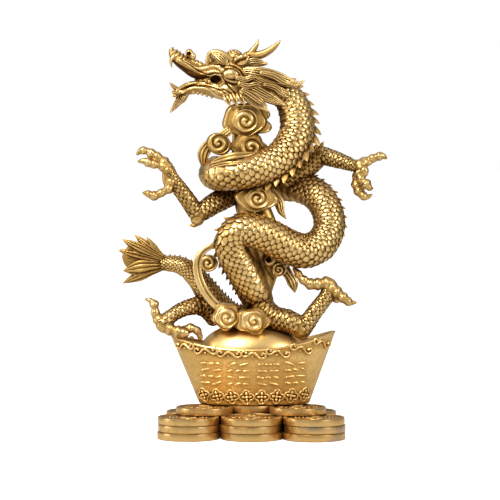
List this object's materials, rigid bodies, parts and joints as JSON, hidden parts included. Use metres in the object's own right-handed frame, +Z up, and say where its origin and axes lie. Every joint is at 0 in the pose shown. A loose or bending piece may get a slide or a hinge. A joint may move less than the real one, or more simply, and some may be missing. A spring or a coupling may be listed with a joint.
{
  "type": "dragon sculpture",
  "caption": "Cast brass table ornament: an open mouthed dragon coiled upright round a column of clouds, on a boat shaped ingot that stands on stacks of square holed coins.",
  "frame": {"origin": "on the surface that the ornament stands on, under the middle of the coin base", "axes": "+X to the ornament's right as it is seen from the front, -Y to the front, towards the viewer, +Z up"},
  "size_m": [0.1807, 0.1077, 0.2636],
  "materials": {
    "dragon_brass": "polished on raised relief, brown patina in the hollows",
    "ingot_brass": "satin, with brown patina round the relief",
    "coin_brass": "satin, with dark lines between the coins"
  },
  "bodies": {
    "root": {"dragon": "dragon_brass", "ingot": "ingot_brass", "coin_base": "coin_brass"}
  },
  "joints": []
}
